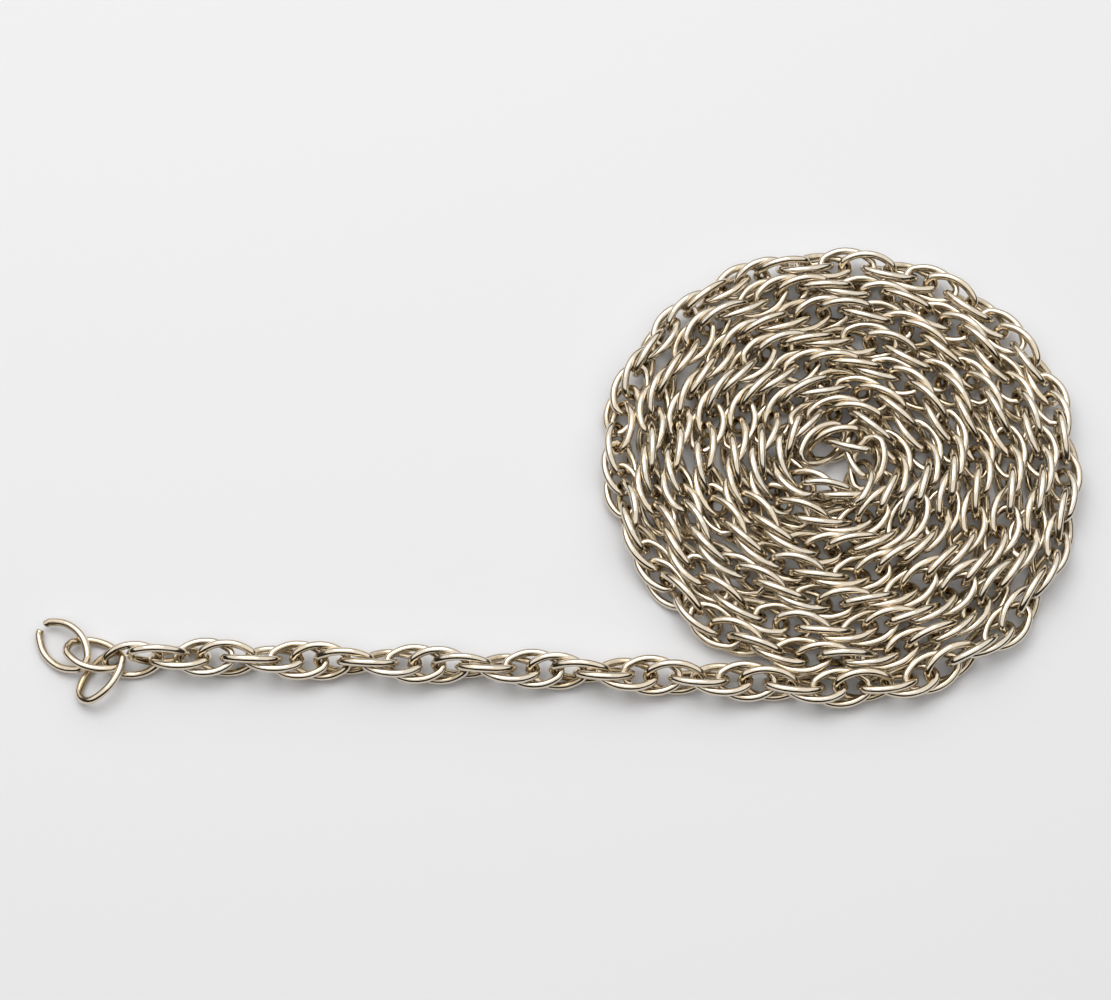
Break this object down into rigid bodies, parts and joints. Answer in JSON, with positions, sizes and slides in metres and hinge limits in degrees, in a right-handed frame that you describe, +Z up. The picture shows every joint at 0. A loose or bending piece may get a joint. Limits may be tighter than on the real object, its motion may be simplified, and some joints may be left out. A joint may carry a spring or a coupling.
{
  "type": "twisted rope chain",
  "caption": "Twisted rope chain of oval wire links, laid as a straight tail that winds into a flat coil, its end link opened.",
  "frame": {"origin": "on the table, under the middle of the whole chain's box", "axes": "+X along the straight tail towards the coil, +Y from the tail's side towards the coil's middle, +Z up from the table"},
  "size_m": [0.1516, 0.0785, 0.0064],
  "materials": {
    "nickel_plate": "bright nickel plate on steel wire, warm, lightly tarnished in the recesses",
    "handled_nickel": "nickel plate on steel wire, with plier marks and a bare cut face on the opened end link"
  },
  "bodies": {
    "coil": {"coil_turn_1_arc_1": "nickel_plate", "coil_turn_1_arc_2": "nickel_plate", "coil_turn_1_arc_3": "nickel_plate", "coil_turn_1_arc_4": "nickel_plate", "coil_turn_2_arc_1": "nickel_plate", "coil_turn_2_arc_2": "nickel_plate", "coil_turn_2_arc_3": "nickel_plate", "coil_turn_2_arc_4": "nickel_plate", "coil_turn_3_arc_1": "nickel_plate", "coil_turn_3_arc_2": "nickel_plate", "coil_turn_3_arc_3": "nickel_plate", "coil_turn_4_arc_1": "nickel_plate", "coil_turn_4_arc_2": "nickel_plate", "coil_turn_4_arc_3": "nickel_plate", "coil_turn_5_arc_1": "nickel_plate", "coil_turn_5_arc_2": "nickel_plate", "coil_turn_6_arc_1": "nickel_plate", "coil_turn_6_arc_2": "nickel_plate", "coil_turn_7": "nickel_plate", "coil_turn_8": "nickel_plate"},
    "end_link_open": {"end_link_open": "handled_nickel"},
    "end_link_spread": {"end_link_spread": "handled_nickel"},
    "end_link_egg": {"end_link_egg": "handled_nickel"},
    "end_link_round": {"end_link_round": "handled_nickel"},
    "tail_link_01": {"tail_link_01": "nickel_plate"},
    "tail_link_02": {"tail_link_02": "nickel_plate"},
    "tail_link_03": {"tail_link_03": "nickel_plate"},
    "tail_link_04": {"tail_link_04": "nickel_plate"},
    "tail_link_05": {"tail_link_05": "nickel_plate"},
    "tail_link_06": {"tail_link_06": "nickel_plate"},
    "tail_link_07": {"tail_link_07": "nickel_plate"},
    "tail_link_08": {"tail_link_08": "nickel_plate"},
    "tail_link_09": {"tail_link_09": "nickel_plate"},
    "tail_link_10": {"tail_link_10": "nickel_plate"},
    "tail_link_11": {"tail_link_11": "nickel_plate"},
    "tail_link_12": {"tail_link_12": "nickel_plate"},
    "tail_link_13": {"tail_link_13": "nickel_plate"},
    "tail_link_14": {"tail_link_14": "nickel_plate"},
    "tail_link_15": {"tail_link_15": "nickel_plate"},
    "tail_link_16": {"tail_link_16": "nickel_plate"},
    "tail_link_17": {"tail_link_17": "nickel_plate"},
    "tail_link_18": {"tail_link_18": "nickel_plate"},
    "tail_link_19": {"tail_link_19": "nickel_plate"},
    "tail_link_20": {"tail_link_20": "nickel_plate"},
    "tail_link_21": {"tail_link_21": "nickel_plate"},
    "tail_link_22": {"tail_link_22": "nickel_plate"},
    "tail_link_23": {"tail_link_23": "nickel_plate"},
    "tail_link_24": {"tail_link_24": "nickel_plate"},
    "tail_link_25": {"tail_link_25": "nickel_plate"},
    "tail_link_26": {"tail_link_26": "nickel_plate"},
    "tail_link_27": {"tail_link_27": "nickel_plate"},
    "tail_link_28": {"tail_link_28": "nickel_plate"},
    "tail_link_29": {"tail_link_29": "nickel_plate"}
  },
  "joints": [
    {"name": "end_link_open_bend", "type": "hinge", "parent": "end_link_spread", "child": "end_link_open", "pos_m": [-0.06898, -0.03103, 0.00167], "axis": [0, 0, 1], "range_deg": [-12, 12]},
    {"name": "end_link_spread_bend", "type": "hinge", "parent": "end_link_round", "child": "end_link_spread", "pos_m": [-0.06377, -0.03204, 0.00209], "axis": [0, 0, 1], "range_deg": [-4, 4]},
    {"name": "end_link_egg_bend", "type": "hinge", "parent": "end_link_round", "child": "end_link_egg", "pos_m": [-0.06307, -0.03365, 0.00211], "axis": [0, 0, 1], "range_deg": [-4, 4.5]},
    {"name": "end_link_round_bend", "type": "hinge", "parent": "tail_link_01", "child": "end_link_round", "pos_m": [-0.05906, -0.03206, 0.00267], "axis": [0, 0, 1], "range_deg": [-4, 3]},
    {"name": "tail_link_01_bend", "type": "hinge", "parent": "tail_link_02", "child": "tail_link_01", "pos_m": [-0.05571, -0.03176, 0.00269], "axis": [0, 0, 1], "range_deg": [-4, 3]},
    {"name": "tail_link_02_bend", "type": "hinge", "parent": "tail_link_03", "child": "tail_link_02", "pos_m": [-0.05242, -0.03169, 0.0025], "axis": [0, 0, 1], "range_deg": [-4, 4]},
    {"name": "tail_link_03_bend", "type": "hinge", "parent": "tail_link_04", "child": "tail_link_03", "pos_m": [-0.04905, -0.03156, 0.00253], "axis": [0, 0, 1], "range_deg": [-4, 4]},
    {"name": "tail_link_04_bend", "type": "hinge", "parent": "tail_link_05", "child": "tail_link_04", "pos_m": [-0.04572, -0.03157, 0.00263], "axis": [0, 0, 1], "range_deg": [-4, 4]},
    {"name": "tail_link_05_bend", "type": "hinge", "parent": "tail_link_06", "child": "tail_link_05", "pos_m": [-0.04235, -0.03151, 0.0027], "axis": [0, 0, 1], "range_deg": [-4, 4]},
    {"name": "tail_link_06_bend", "type": "hinge", "parent": "tail_link_07", "child": "tail_link_06", "pos_m": [-0.039, -0.03143, 0.00261], "axis": [0, 0, 1], "range_deg": [-4, 4]},
    {"name": "tail_link_07_bend", "type": "hinge", "parent": "tail_link_08", "child": "tail_link_07", "pos_m": [-0.03562, -0.03143, 0.00269], "axis": [0, 0, 1], "range_deg": [-4, 4]},
    {"name": "tail_link_08_bend", "type": "hinge", "parent": "tail_link_09", "child": "tail_link_08", "pos_m": [-0.03227, -0.03139, 0.0028], "axis": [0, 0, 1], "range_deg": [-4, 4]},
    {"name": "tail_link_09_bend", "type": "hinge", "parent": "tail_link_10", "child": "tail_link_09", "pos_m": [-0.02888, -0.03134, 0.00285], "axis": [0, 0, 1], "range_deg": [-4, 2.5]},
    {"name": "tail_link_10_bend", "type": "hinge", "parent": "tail_link_11", "child": "tail_link_10", "pos_m": [-0.02552, -0.03132, 0.0028], "axis": [0, 0, 1], "range_deg": [-3.5, 4]},
    {"name": "tail_link_11_bend", "type": "hinge", "parent": "tail_link_12", "child": "tail_link_11", "pos_m": [-0.02214, -0.03128, 0.0028], "axis": [0, 0, 1], "range_deg": [-4, 4]},
    {"name": "tail_link_12_bend", "type": "hinge", "parent": "tail_link_13", "child": "tail_link_12", "pos_m": [-0.01877, -0.03127, 0.00278], "axis": [0, 0, 1], "range_deg": [-4, 4]},
    {"name": "tail_link_13_bend", "type": "hinge", "parent": "tail_link_14", "child": "tail_link_13", "pos_m": [-0.01539, -0.03127, 0.00284], "axis": [0, 0, 1], "range_deg": [-4, 3]},
    {"name": "tail_link_14_bend", "type": "hinge", "parent": "tail_link_15", "child": "tail_link_14", "pos_m": [-0.01201, -0.03123, 0.00283], "axis": [0, 0, 1], "range_deg": [-3, 4]},
    {"name": "tail_link_15_bend", "type": "hinge", "parent": "tail_link_16", "child": "tail_link_15", "pos_m": [-0.00863, -0.03125, 0.00275], "axis": [0, 0, 1], "range_deg": [-4, 4]},
    {"name": "tail_link_16_bend", "type": "hinge", "parent": "tail_link_17", "child": "tail_link_16", "pos_m": [-0.00526, -0.03124, 0.00273], "axis": [0, 0, 1], "range_deg": [-3, 4]},
    {"name": "tail_link_17_bend", "type": "hinge", "parent": "tail_link_18", "child": "tail_link_17", "pos_m": [-0.00188, -0.03126, 0.00269], "axis": [0, 0, 1], "range_deg": [-3, 4]},
    {"name": "tail_link_18_bend", "type": "hinge", "parent": "tail_link_19", "child": "tail_link_18", "pos_m": [0.00149, -0.03131, 0.00281], "axis": [0, 0, 1], "range_deg": [-4, 3.5]},
    {"name": "tail_link_19_bend", "type": "hinge", "parent": "tail_link_20", "child": "tail_link_19", "pos_m": [0.00487, -0.0313, 0.0028], "axis": [0, 0, 1], "range_deg": [-4, 4]},
    {"name": "tail_link_20_bend", "type": "hinge", "parent": "tail_link_21", "child": "tail_link_20", "pos_m": [0.00823, -0.03135, 0.00268], "axis": [0, 0, 1], "range_deg": [-4, 4]},
    {"name": "tail_link_21_bend", "type": "hinge", "parent": "tail_link_22", "child": "tail_link_21", "pos_m": [0.01161, -0.03135, 0.00263], "axis": [0, 0, 1], "range_deg": [0, 4]},
    {"name": "tail_link_22_bend", "type": "hinge", "parent": "tail_link_23", "child": "tail_link_22", "pos_m": [0.01498, -0.03138, 0.00254], "axis": [0, 0, 1], "range_deg": [0, 4]},
    {"name": "tail_link_23_bend", "type": "hinge", "parent": "tail_link_24", "child": "tail_link_23", "pos_m": [0.01836, -0.03145, 0.00254], "axis": [0, 0, 1], "range_deg": [0, 4]},
    {"name": "tail_link_24_bend", "type": "hinge", "parent": "tail_link_25", "child": "tail_link_24", "pos_m": [0.02173, -0.03148, 0.00257], "axis": [0, 0, 1], "range_deg": [0, 4]},
    {"name": "tail_link_25_bend", "type": "hinge", "parent": "tail_link_26", "child": "tail_link_25", "pos_m": [0.02511, -0.03154, 0.00257], "axis": [0, 0, 1], "range_deg": [0, 4]},
    {"name": "tail_link_26_bend", "type": "hinge", "parent": "tail_link_27", "child": "tail_link_26", "pos_m": [0.02847, -0.03167, 0.00256], "axis": [0, 0, 1], "range_deg": [0, 4]},
    {"name": "tail_link_27_bend", "type": "hinge", "parent": "tail_link_28", "child": "tail_link_27", "pos_m": [0.03184, -0.0318, 0.00253], "axis": [0, 0, 1], "range_deg": [0, 4]},
    {"name": "tail_link_28_bend", "type": "hinge", "parent": "tail_link_29", "child": "tail_link_28", "pos_m": [0.03521, -0.0319, 0.00255], "axis": [0, 0, 1], "range_deg": [0, 4]},
    {"name": "tail_link_29_bend", "type": "hinge", "parent": "coil", "child": "tail_link_29", "pos_m": [0.03857, -0.03191, 0.00251], "axis": [0, 0, 1], "range_deg": [0, 4]}
  ]
}
